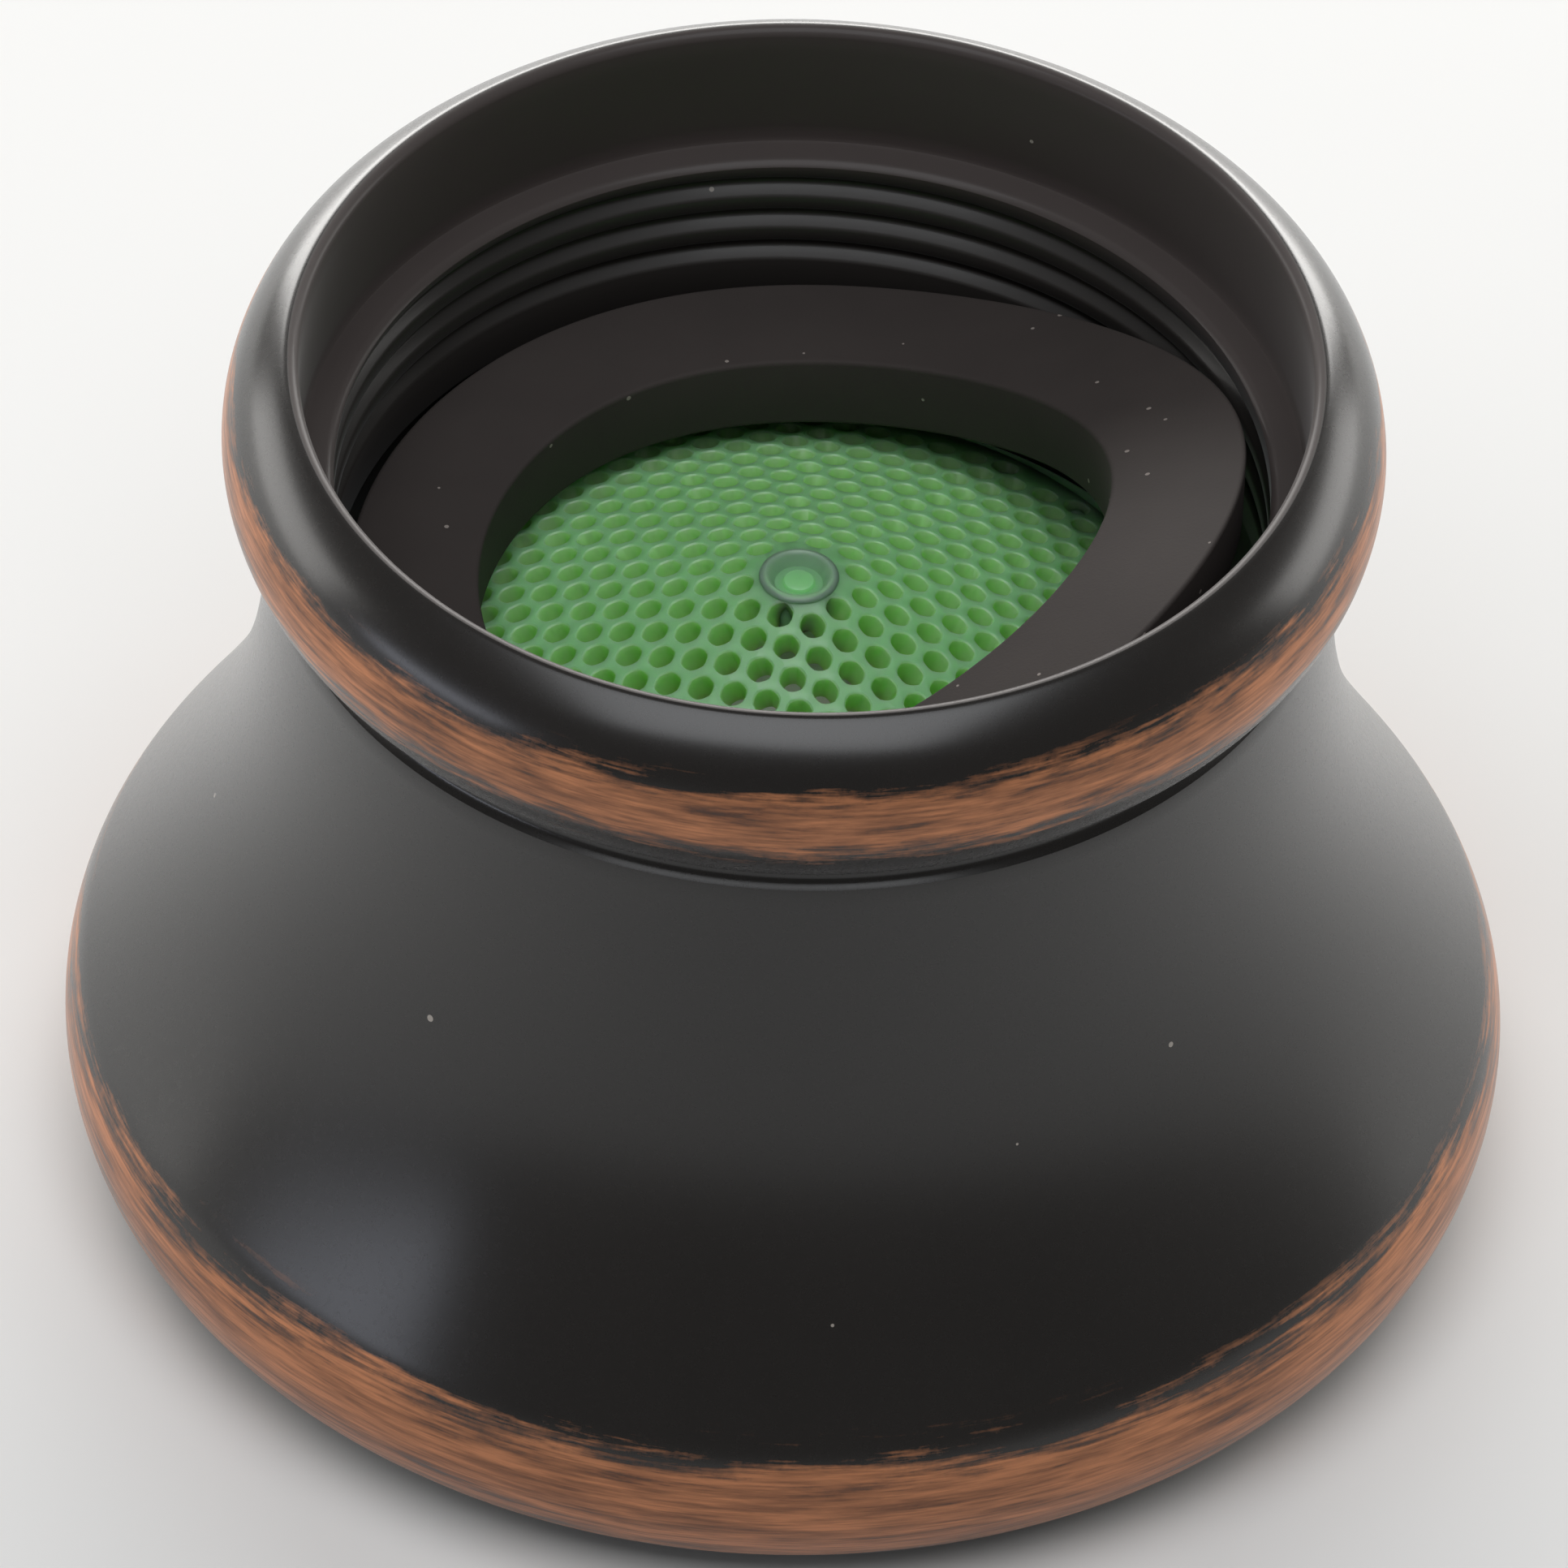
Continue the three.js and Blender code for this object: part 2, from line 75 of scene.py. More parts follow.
# Housing, inside. The finish is 0 on the outside. A point of the thread's flank is its share of the way in to
# the root, and of the way down from the groove's edge.
LINING_FINISH = 0.5
BORE_FINISH = 1
MOUTH_RADIUS = 11.2
SHOULDER_Z = 19.5
THREAD_ROOT_RADIUS = 10.67
THREAD_CREST_RADIUS = 10.41
THREAD_PITCH = 0.941
THREAD_TURNS = 3
THREAD_FADE_TURNS = 0.4
THREAD_START_ANGLE = math.radians(-90)
THREAD_FIRST_Z = 16.42
THREAD_MOUTH_SHARE = 3 / 8
THREAD_ROOT_SHARE = 1 / 16
THREAD_FADED_WIDTH = 0.3
THREAD_FLANK = ((0, 0), (0.06, 0.15), (0.2, 0.32), (0.8, 0.82), (0.95, 0.95), (1, 1.08))
THREAD_ZONE_BOTTOM_Z = 15.5
BORE_RADIUS = 10.7
LEDGE_TOP_Z = 3.0
LEDGE_BOTTOM_Z = 1.7
OUTLET_RADIUS = 8.4

# Washer.
WASHER_SIDES = 240
WASHER_INNER_RADIUS = 7.0
WASHER_OUTER_RADIUS = 9.95
WASHER_THICKNESS = 1.9
WASHER_CORNER = 0.12
WASHER_OFFSET_X = -0.15
WASHER_MEAN_TOP_Z = 17.11
WASHER_TILT = 2.08
WASHER_TILT_ANGLE = math.radians(-10)
WASHER_SADDLE = 0.8
WASHER_SADDLE_ANGLE = math.radians(-30.5)
WASHER_LOWEST_TOP_Z = 16.0
WASHER_BEND = 0.5

# Strainer cone.
CONE_TIP_Z = 16.6
CONE_SLOPE = 0.38
CONE_EDGE_RADIUS = 9.1
CONE_WALL = 0.95
CONE_CORNER = 0.035
CONE_SIDES = 192
CONE_HOLE_SIDES = 18
CONE_HOLE_RADIUS = 0.285
CONE_HOLE_SWELL = 0.025
CONE_HOLE_PITCH = 0.772
CONE_LATTICE_DIRECTION = math.radians(-17.4)
CONE_LATTICE_PHASE = (-0.391, -1.102)
CONE_FIRST_HOLE = 1.1
CONE_EDGE_MARGIN = 0.4
GATE_RADIUS = 0.88
GATE_TOP_Z = 16.41
GATE_DEPTH = 1.1
GATE_SEAT_RADIUS = 0.78
GATE_SEAT_SIDES = 48
STRAINER_RIM_SIDES = 160
STRAINER_FLANGE_RADIUS = 9.9
STRAINER_FLANGE_TOP_Z = 12.5
STRAINER_FLANGE_BOTTOM_Z = 11.9
STRAINER_SKIRT_OUTER = 8.2
STRAINER_SKIRT_INNER = 7.5
STRAINER_SKIRT_BOTTOM_Z = 11.1

# Cartridge.
SHELL_BOTTOM_Z = 3.3
SHELL_TOP_Z = 11.6
SHELL_OUTER_RADIUS = 9.5
SHELL_INNER_RADIUS = 8.5
SHELL_FLANGE_RADIUS = 10.2
SHELL_FLANGE_THICKNESS = 0.8
SHELL_LIP_RADIUS = 7.6
SHELL_LIP_THICKNESS = 0.8
SHELL_SIDES = 192
AIR_WINDOWS = 8
AIR_WINDOW_SIDES = 8
AIR_WINDOW_BOTTOM_Z = 7.5
AIR_WINDOW_TOP_Z = 8.5
DISC_RADIUS = 8.15
DISC_SIDES = 128
DISC_HOLE_SIDES = 24
GRILLE_Z = (4.4, 5.2)
GRILLE_PITCH = 2.2
GRILLE_CELL_RADIUS = 1.0
GRILLE_MARGIN = 2.0
LOWER_SCREEN_Z = (5.5, 5.8)
SPACER_Z = (6.1, 6.6)
SPACER_WALL = 0.9
UPPER_SCREEN_Z = (6.9, 7.2)
JET_PLATE_Z = (8.8, 9.6)
JET_ROWS = ((9, 3.2), (18, 6.0))
JET_RADIUS = 0.5
REGULATOR_PLATE_Z = (9.9, 10.4)
REGULATOR_OVERLAP = 0.2
REGULATOR_PORTS = 12
REGULATOR_PORT_RADIUS = 0.7
REGULATOR_HUB_SIDES = 200
REGULATOR_HUB_RADIUS = 3.15
REGULATOR_HUB_FLUTES = 10
REGULATOR_FLUTE_DEPTH = 0.25
REGULATOR_HUB_TOP_Z = 12.0
REGULATOR_WALL_RADII = (6.1, 6.8)
REGULATOR_WALL_TOP_Z = 11.5
O_RING_CENTRE_RADIUS = 4.7
O_RING_TUBE_RADIUS = 0.86
O_RING_CENTRE_Z = 11.6
UPPER_SCREEN_DIRECTION = math.radians(52)
LOWER_SCREEN_DIRECTION = math.radians(11)
WIRE_PITCH = 0.56
WIRE_RADIUS = 0.075
WIRE_SIDES = 6
SCREEN_RIM_WIDTH = 0.55
SCREEN_RIM_OVERLAP = 0.12

# Stage, with places and sizes in millimetres and powers in watts.
FLOOR_HALF_SIZE = 1200
WORLD_COLOUR = (1.0, 0.98, 0.95, 1)
WORLD_STRENGTH = 0.16
LIGHT_TARGET = (0, 0, 10)
WARM_WHITE = (1.0, 0.985, 0.96)
LIGHTS = (
    ("left_softbox", (-290, 120, 80), (220, 130), 0.32, WARM_WHITE),
    ("left_accent", (-252, -112, 60), (150, 28), 0.065, (0.84, 0.88, 1.0)),
    ("right_softbox", (290, 150, 80), (220, 130), 0.32, WARM_WHITE),
    ("back_softbox", (0, 300, 90), (420, 150), 1.5, WARM_WHITE),
    ("overhead_softbox", (-10, -100, 300), (280, 230), 0.6, (0.95, 0.97, 1.0)),
)


# Outlines.

def arc(radius, z, size, from_degrees, to_degrees, steps):
    """Points of a profile along a circular arc, angles measured from the +radius direction."""
    angles = np.radians(np.linspace(from_degrees, to_degrees, steps + 1))
    return [(radius + size * math.cos(a), z + size * math.sin(a)) for a in angles]


def bezier(start, start_handle, end_handle, end, steps):
    """Points along a cubic curve, without its first one."""
    points = []
    for t in np.linspace(0, 1, steps + 1)[1:]:
        weights = ((1 - t) ** 3, 3 * t * (1 - t) ** 2, 3 * t * t * (1 - t), t ** 3)
        corners = (start, start_handle, end_handle, end)
        points.append(tuple(sum(w * c[i] for w, c in zip(weights, corners)) for i in (0, 1)))
    return points


def line(start, end, steps):
    """Points along a straight stretch, without its first one."""
    return [
        (start[0] + (end[0] - start[0]) * t, start[1] + (end[1] - start[1]) * t)
        for t in np.linspace(0, 1, steps + 1)[1:]
    ]


def rounded_loop(corners, size=0.12, steps=3):
    """A closed profile with each corner rounded off by about size."""
    rounded = []
    for i, corner in enumerate(corners):
        corner = Vector(corner)
        before = Vector(corners[i - 1]) - corner
        after = Vector(corners[(i + 1) % len(corners)]) - corner
        start = corner + before.normalized() * min(size, before.length / 3)
        end = corner + after.normalized() * min(size, after.length / 3)
        for t in np.linspace(0, 1, steps + 1):
            rounded.append(tuple((1 - t) ** 2 * start + 2 * t * (1 - t) * corner + t * t * end))
    return rounded


# Meshes.

def make_object(name, vertices, faces, sharp_degrees=35):
    """A smooth-shaded object from points in millimetres."""
    mesh = bpy.data.meshes.new(name)
    mesh.from_pydata([(x * MM, y * MM, z * MM) for x, y, z in vertices], [], faces)
    mesh.validate()
    mesh.shade_smooth()
    mesh.set_sharp_from_angle(angle=math.radians(sharp_degrees))
    piece = bpy.data.objects.new(name, mesh)
    bpy.context.scene.collection.objects.link(piece)
    return piece


def add_attribute(piece, name, kind, values):
    """Gives each vertex a value that the piece's material reads."""
    attribute = piece.data.attributes.new(name, kind, "POINT")
    field = "vector" if kind == "FLOAT_VECTOR" else "value"
    attribute.data.foreach_set(field, np.asarray(values, dtype=np.float32).ravel())


def ring_faces(sections, corners, closing_path=None):
    """Faces of a ring skinned over sections, each a closed loop of corners. closing_path pairs the corners
    of the last section with those of the first, where the ring closes."""
    plain = [(k % corners, k % corners) for k in range(corners + 1)]
    faces = []
    for i in range(sections):
        closing = i == sections - 1
        here = i * corners
        there = 0 if closing else here + corners
        pairs = closing_path if closing and closing_path else plain
        for (a, b), (a_next, b_next) in zip(pairs, pairs[1:]):
            corner_loop = [here + a, there + b]
            if b != b_next:
                corner_loop.append(there + b_next)
            if a != a_next:
                corner_loop.append(here + a_next)
            faces.append(corner_loop)
    return faces


def profile_length(profile):
    """Distance travelled along a profile at each of its points."""
    points = np.array(profile)
    steps = np.linalg.norm(np.diff(points, axis=0), axis=1)
    return np.concatenate(([0.0], np.cumsum(steps)))


def turned(name, profile, sides=128):
    """A closed profile of (radius, z) points turned about the Z axis."""
    angles = np.linspace(0, 2 * math.pi, sides, endpoint=False)
    vertices = [(r * math.cos(a), r * math.sin(a), z) for a in angles for r, z in profile]
    return make_object(name, vertices, ring_faces(sides, len(profile)))


def capped_turned(name, profile, sides=96):
    """A profile that starts and ends on the Z axis, turned about it."""
    inner = profile[1:-1]
    angles = np.linspace(0, 2 * math.pi, sides, endpoint=False)
    vertices = [(r * math.cos(a), r * math.sin(a), z) for a in angles for r, z in inner]
    first, last = len(vertices), len(vertices) + 1
    vertices += [(0, 0, profile[0][1]), (0, 0, profile[-1][1])]
    count = len(inner)
    faces = []
    for i in range(sides):
        here = i * count
        there = ((i + 1) % sides) * count
        faces += [[here + k, there + k, there + k + 1, here + k + 1] for k in range(count - 1)]
        faces.append([first, there, here])
        faces.append([last, here + count - 1, there + count - 1])
    return make_object(name, vertices, faces)


def hole_outline(centre, radius, sides, corner_swell=0.0, turn=0.0):
    """Points of a hole's edge, going round it; corner_swell pushes out six soft corners."""
    points = []
    for i in range(sides):
        angle = turn + 2 * math.pi * i / sides
        size = radius * (1 + corner_swell * math.cos(6 * (angle - turn)))
        points.append((centre[0] + size * math.cos(angle), centre[1] + size * math.sin(angle)))
    return points


def resized(loop, distance):
    """A loop of outline points moved outwards from its middle by a distance."""
    middle = np.mean(loop, axis=0)
    moved = []
    for point in np.asarray(loop):
        arm = point - middle
        moved.append(tuple(middle + arm * (1 + distance / np.hypot(*arm))))
    return moved


def perforated(name, outline, holes, over, under, corner):
    """A plate with holes. Its outline and holes are loops of (x, y) points. over and under give the place of
    such a point on its top and bottom face. All edges are bevelled by corner. The bore attribute goes from
    0 on the top face to 1 deep in the holes and underneath."""
    loops = [outline] + holes
    face_loops = [resized(outline, -corner)] + [resized(hole, corner) for hole in holes]
    points = [Vector(p) for loop in face_loops for p in loop]
    indices = []
    for loop in face_loops:
        start = indices[-1][-1] + 1 if indices else 0
        indices.append(list(range(start, start + len(loop))))
    edges = [(loop[k - 1], loop[k]) for loop in indices for k in range(len(loop))]
    flat, _, triangles, origins, _, _ = delaunay_2d_cdt(points, edges, [], 1, 1e-6)
    loop_of_point = {index: number for number, loop in enumerate(indices) for index in loop}
    owner = [loop_of_point[origin[0]] for origin in origins]
    place = {origin[0]: vertex for vertex, origin in enumerate(origins)}
    kept = [list(t) for t in triangles if owner[t[0]] == 0 or len({owner[v] for v in t}) > 1]

    count = len(flat)
    vertices = [over(p.x, p.y) for p in flat] + [under(p.x, p.y) for p in flat]
    faces = kept + [[v + count for v in reversed(triangle)] for triangle in kept]
    bore = []
    for number, loop in enumerate(loops):
        size = len(loop)
        start = len(vertices)
        for x, y, z in (over(x, y) for x, y in loop):
            vertices.append((x, y, z - corner))
        for x, y, z in (under(x, y) for x, y in loop):
            vertices.append((x, y, z + corner))
        bore += [0.25] * size + [1.0] * size
        top_ring = [place[v] for v in indices[number]]
        rings = [
            top_ring,
            list(range(start, start + size)),
            list(range(start + size, start + 2 * size)),
            [v + count for v in top_ring],
        ]
        for upper, lower in zip(rings, rings[1:]):
            for k in range(size):
                quad = [upper[k - 1], lower[k - 1], lower[k], upper[k]]
                faces.append(quad if number == 0 else quad[::-1])
    piece = make_object(name, vertices, faces)
    add_attribute(piece, "bore", "FLOAT", [0.0] * count + [1.0] * count + bore)
    return piece


def flat_plate(name, outline, holes, heights, corner=0.05):
    """A level plate between two heights."""
    bottom, top = heights
    return perforated(name, outline, holes, lambda x, y: (x, y, top), lambda x, y: (x, y, bottom), corner)


def hexagonal_lattice(pitch, direction, phase, inner, outer):
    """Centres of a hexagonal lattice that lie between two radii; phase is one of its points."""
    row_pitch = pitch * math.sin(math.pi / 3)
    reach = math.ceil(2 * outer / row_pitch) + 2
    centres = []
    for row in range(-reach, reach + 1):
        for column in range(-reach, reach + 1):
            x = (column + row / 2) * pitch
            y = row * row_pitch
            place = (
                phase[0] + x * math.cos(direction) - y * math.sin(direction),
                phase[1] + x * math.sin(direction) + y * math.cos(direction),
            )
            if inner <= math.hypot(*place) <= outer:
                centres.append(place)
    return centres


def joined(name, pieces):
    """One object from several, in place."""
    bpy.ops.object.select_all(action="DESELECT")
    for piece in pieces:
        piece.select_set(True)
    bpy.context.view_layer.objects.active = pieces[0]
    bpy.ops.object.join()
    pieces[0].name = name
    return pieces[0]


# Housing.

def smooth_step(value):
    """0 up to 0, 1 from 1 on, and a smooth rise between them."""
    value = min(1.0, max(0.0, value))
    return value * value * (3 - 2 * value)


def band(position, low, high, low_fade, high_fade):
    """1 inside a band and 0 outside it, with a fade of its own at each edge."""
    return smooth_step((position - low) / low_fade + 0.5) * smooth_step((high - position) / high_fade + 0.5)


def housing_outside():
    """Outline from the rest ring up to the neck and round the bead, as points of (radius, z, copper wear,
    finish)."""
    foot_centre = BELLY_RADIUS - FOOT_CORNER_RADIUS
    shoulder_centre = BELLY_RADIUS - SHOULDER_CORNER_RADIUS
    outline = []
    for angle in np.linspace(-90, 0, 25):
        r, z = arc(foot_centre, FOOT_CORNER_RADIUS, FOOT_CORNER_RADIUS, angle, angle, 0)[0]
        outline.append((r, z, band(angle, *FOOT_COPPER), 0))
    for angle in np.linspace(0, SHOULDER_CORNER_END, 13)[1:]:
        r, z = arc(shoulder_centre, FOOT_CORNER_RADIUS, SHOULDER_CORNER_RADIUS, angle, angle, 0)[0]
        outline.append((r, z, band(angle, *SHOULDER_COPPER), 0))
    neck = [
        (NECK_RADIUS + 0.26, NECK_BOTTOM_Z - 0.2),
        (NECK_RADIUS + 0.23, NECK_BOTTOM_Z - 0.08),
        (NECK_RADIUS + 0.12, NECK_BOTTOM_Z),
        (NECK_RADIUS + 0.04, NECK_BOTTOM_Z + 0.1),
        (NECK_RADIUS + 0.03, NECK_BOTTOM_Z + 0.24),
    ]
    flare = bezier(outline[-1][:2], *FLARE_HANDLES, neck[0], 44)
    outline += [(r, z, 0, 0) for r, z in flare + neck[1:]]
    for angle in np.linspace(*BEAD_ANGLES, 43):
        r, z = arc(BEAD_CENTRE_RADIUS, BEAD_CENTRE_Z, BEAD_TUBE_RADIUS, angle, angle, 0)[0]
        outline.append((r, z, band(angle, *BEAD_COPPER), 0))
    return outline


def housing_mouth():
    """Outline from the bead over the lip and down the smooth mouth as far as the thread."""
    lip = arc(LIP_CENTRE_RADIUS, LIP_CENTRE_Z, LIP_CORNER_RADIUS, *LIP_ANGLES, 10)
    wall = line((MOUTH_RADIUS, LIP_CENTRE_Z), (MOUTH_RADIUS, SHOULDER_Z + 0.1), 8)
    wall += [
        (MOUTH_RADIUS - 0.04, SHOULDER_Z + 0.02),
        (MOUTH_RADIUS - 0.12, SHOULDER_Z),
        (THREAD_CREST_RADIUS + 0.2, SHOULDER_Z),
        (THREAD_CREST_RADIUS + 0.08, SHOULDER_Z - 0.04),
        (THREAD_CREST_RADIUS, SHOULDER_Z - 0.14),
    ]
    outline = [(r, z, 0, 0 if r > LIP_CENTRE_RADIUS else LINING_FINISH) for r, z in lip]
    return outline + [(r, z, 0, LINING_FINISH) for r, z in wall]


def housing_below_thread():
    """Outline from under the thread down the bore, over the ledge and out to the rest ring again."""
    corners = [
        (THREAD_CREST_RADIUS, THREAD_ZONE_BOTTOM_Z + 0.15),
        (BORE_RADIUS, THREAD_ZONE_BOTTOM_Z),
        (BORE_RADIUS, LEDGE_TOP_Z),
        (OUTLET_RADIUS + 0.15, LEDGE_TOP_Z),
        (OUTLET_RADIUS, LEDGE_TOP_Z - 0.15),
        (OUTLET_RADIUS, LEDGE_BOTTOM_Z + 0.15),
        (OUTLET_RADIUS + 0.15, LEDGE_BOTTOM_Z),
        (REST_RING_INNER - 0.4, 0.5),
        (REST_RING_INNER - 0.15, 0.12),
        (REST_RING_INNER, 0.0),
    ]
    return [(r, z, 0, BORE_FINISH) for r, z in corners]


def thread_groove(turns):
    """One groove of the thread after a number of turns up the helix, from its upper edge to its lower one.
    It fades into the wall at both ends of the thread."""
    z = THREAD_FIRST_Z + THREAD_PITCH * turns
    depth = min(1.0, turns / THREAD_FADE_TURNS, (THREAD_TURNS - turns) / THREAD_FADE_TURNS)
    width = THREAD_FADED_WIDTH + (1 - THREAD_FADED_WIDTH) * depth
    mouth_half = THREAD_PITCH * THREAD_MOUTH_SHARE * width
    root_half = THREAD_PITCH * THREAD_ROOT_SHARE
    upper = []
    for inward, downward in THREAD_FLANK:
        r = THREAD_CREST_RADIUS + inward * depth * (THREAD_ROOT_RADIUS - THREAD_CREST_RADIUS)
        upper.append((r, z + mouth_half - downward * (mouth_half - root_half)))
    lower = [(r, 2 * z - height) for r, height in reversed(upper)]
    return [(r, height, 0, BORE_FINISH) for r, height in upper + lower]


def thread_closing_path(above, groove_corners, total):
    """Where the helix has gone once round, each groove meets the one above it. The top groove has faded by
    then and closes on the wall above, and the bottom groove starts from the wall below."""
    first_below = above + THREAD_TURNS * groove_corners
    path = [(i, i) for i in range(above)]
    path += [(above + i, above - 1) for i in range(groove_corners)]
    path += [(i, i - groove_corners) for i in range(above + groove_corners, first_below + 1)]
    path += [(first_below, i) for i in range(first_below - groove_corners + 1, first_below + 1)]
    path += [(i % total, i % total) for i in range(first_below + 1, total + 1)]
    return path


def make_housing():
    above = housing_outside() + housing_mouth()
    below = housing_below_thread()
    vertices, around, wear, finish = [], [], [], []
    for i in range(HOUSING_SIDES):
        share = i / HOUSING_SIDES
        angle = THREAD_START_ANGLE + 2 * math.pi * share
        grooves = [p for k in range(THREAD_TURNS) for p in thread_groove(THREAD_TURNS - 1 - k + share)]
        section = above + grooves + below
        lengths = profile_length([p[:2] for p in section])
        cos, sin = math.cos(angle), math.sin(angle)
        vertices += [(r * cos, r * sin, z) for r, z, _, _ in section]
        around += [(cos, sin, s) for s in lengths]
        wear += [p[2] for p in section]
        finish += [p[3] for p in section]
    total = len(section)
    path = thread_closing_path(len(above), len(thread_groove(0)), total)
    piece = make_object("housing_body", vertices, ring_faces(HOUSING_SIDES, total, path))
    add_attribute(piece, "around", "FLOAT_VECTOR", around)
    add_attribute(piece, "wear", "FLOAT", wear)
    add_attribute(piece, "finish", "FLOAT", finish)
    return piece


# Washer.

def washer_top(radius, angle):
    """Height of the washer's top face over a point of the ring."""
    share = radius / WASHER_INNER_RADIUS
    tilt = WASHER_TILT * math.cos(angle - WASHER_TILT_ANGLE)
    twist = WASHER_SADDLE * math.cos(2 * (angle - WASHER_SADDLE_ANGLE))
    free = WASHER_MEAN_TOP_Z + share * (tilt + twist) - WASHER_LOWEST_TOP_Z
    return WASHER_LOWEST_TOP_Z + (free + math.hypot(free, WASHER_BEND)) / 2


def make_washer():
    section = rounded_loop(
        [
            (WASHER_INNER_RADIUS, -WASHER_THICKNESS),
            (WASHER_OUTER_RADIUS, -WASHER_THICKNESS),
            (WASHER_OUTER_RADIUS, 0),
            (WASHER_INNER_RADIUS, 0),
        ],
        WASHER_CORNER,
    )
    vertices = []
    for angle in np.linspace(0, 2 * math.pi, WASHER_SIDES, endpoint=False):
        for radius, drop in section:
            x = WASHER_OFFSET_X + radius * math.cos(angle)
            vertices.append((x, radius * math.sin(angle), washer_top(radius, angle) + drop))
    return make_object("washer_ring", vertices, ring_faces(WASHER_SIDES, len(section)), 50)


# Strainer cone.

def cone_top(x, y):
    """The place on the cone's outside over a point."""
    return (x, y, CONE_TIP_Z - CONE_SLOPE * math.hypot(x, y))


def cone_underside(x, y):
    """The place on the cone's inside that is straight through the wall."""
    upright = 1 / math.hypot(1, CONE_SLOPE)
    radius = math.hypot(x, y)
    share = (radius - CONE_WALL * upright * CONE_SLOPE) / radius
    return (x * share, y * share, CONE_TIP_Z - CONE_SLOPE * radius - CONE_WALL * upright)


def sieve():
    """The cone with its hexagonal pattern of holes, and a larger hole at its tip for the gate."""
    last_hole = CONE_EDGE_RADIUS - CONE_EDGE_MARGIN
    centres = hexagonal_lattice(
        CONE_HOLE_PITCH, CONE_LATTICE_DIRECTION, CONE_LATTICE_PHASE, CONE_FIRST_HOLE, last_hole
    )
    turn = CONE_LATTICE_DIRECTION + math.pi / 6
    holes = [hole_outline(c, CONE_HOLE_RADIUS, CONE_HOLE_SIDES, CONE_HOLE_SWELL, turn) for c in centres]
    holes.append(hole_outline((0, 0), GATE_SEAT_RADIUS, GATE_SEAT_SIDES))
    outline = hole_outline((0, 0), CONE_EDGE_RADIUS, CONE_SIDES)
    return perforated("strainer_sieve", outline, holes, cone_top, cone_underside, CONE_CORNER)


def strainer_rim():
    """The flange that lies on the cartridge and the skirt that drops into it."""
    edge_z = cone_top(CONE_EDGE_RADIUS, 0)[2]
    corners = [
        (STRAINER_SKIRT_INNER, STRAINER_SKIRT_BOTTOM_Z),
        (STRAINER_SKIRT_OUTER, STRAINER_SKIRT_BOTTOM_Z),
        (STRAINER_SKIRT_OUTER, STRAINER_FLANGE_BOTTOM_Z),
        (STRAINER_FLANGE_RADIUS, STRAINER_FLANGE_BOTTOM_Z),
        (STRAINER_FLANGE_RADIUS, STRAINER_FLANGE_TOP_Z),
        (CONE_EDGE_RADIUS + 0.15, STRAINER_FLANGE_TOP_Z),
        (CONE_EDGE_RADIUS, edge_z - 0.05),
        (CONE_EDGE_RADIUS - 0.6, edge_z - 0.15),
        (STRAINER_SKIRT_INNER, STRAINER_FLANGE_TOP_Z),
    ]
    return turned("strainer_rim", rounded_loop(corners), STRAINER_RIM_SIDES)


def strainer_gate():
    """The moulding gate at the tip: a plug, a low rolled ring and a dished middle with a small dot."""
    bottom = GATE_TOP_Z - GATE_DEPTH
    plug = [
        (0, bottom),
        (GATE_RADIUS - 0.18, bottom),
        (GATE_RADIUS - 0.11, GATE_TOP_Z - 0.7),
        (GATE_RADIUS - 0.11, GATE_TOP_Z - 0.085),
    ]
    ring = [
        (GATE_RADIUS + 0.01, GATE_TOP_Z - 0.132),
        (GATE_RADIUS + 0.02, GATE_TOP_Z - 0.11),
        (GATE_RADIUS + 0.005, GATE_TOP_Z - 0.07),
        (GATE_RADIUS - 0.04, GATE_TOP_Z - 0.03),
        (GATE_RADIUS - 0.09, GATE_TOP_Z - 0.008),
        (GATE_RADIUS - 0.13, GATE_TOP_Z),
        (GATE_RADIUS - 0.17, GATE_TOP_Z - 0.02),
    ]
    dish = [
        (GATE_RADIUS - 0.22, GATE_TOP_Z - 0.09),
        (GATE_RADIUS - 0.28, GATE_TOP_Z - 0.22),
        (GATE_RADIUS - 0.34, GATE_TOP_Z - 0.3),
        (0.41, GATE_TOP_Z - 0.32),
    ]
    dot = [
        (0.36, GATE_TOP_Z - 0.3),
        (0.33, GATE_TOP_Z - 0.22),
        (0.28, GATE_TOP_Z - 0.19),
        (0, GATE_TOP_Z - 0.185),
    ]
    return capped_turned("strainer_gate", plug + ring + dish + dot)


def make_strainer():
    return joined("strainer_sieve", [sieve(), strainer_rim(), strainer_gate()])


# Cartridge.

def shell_profile():
    """Section of the shell, and which of its points are at the windows' bottom, outside and inside."""
    flange_bottom = SHELL_TOP_Z - SHELL_FLANGE_THICKNESS
    lip_top = SHELL_BOTTOM_Z + SHELL_LIP_THICKNESS
    lower = rounded_loop(
        [
            (SHELL_INNER_RADIUS, lip_top),
            (SHELL_LIP_RADIUS, lip_top),
            (SHELL_LIP_RADIUS, SHELL_BOTTOM_Z),
            (SHELL_OUTER_RADIUS, SHELL_BOTTOM_Z),
        ]
    )
    upper = rounded_loop(
        [
            (SHELL_OUTER_RADIUS, flange_bottom),
            (SHELL_FLANGE_RADIUS, flange_bottom),
            (SHELL_FLANGE_RADIUS, SHELL_TOP_Z),
            (SHELL_INNER_RADIUS, SHELL_TOP_Z),
        ]
    )
    outer_wall = [(SHELL_OUTER_RADIUS, z) for z in (AIR_WINDOW_BOTTOM_Z, AIR_WINDOW_TOP_Z)]
    inner_wall = [(SHELL_INNER_RADIUS, z) for z in (AIR_WINDOW_TOP_Z, AIR_WINDOW_BOTTOM_Z)]
    profile = lower + outer_wall + upper + inner_wall
    return profile, len(lower), len(profile) - 1


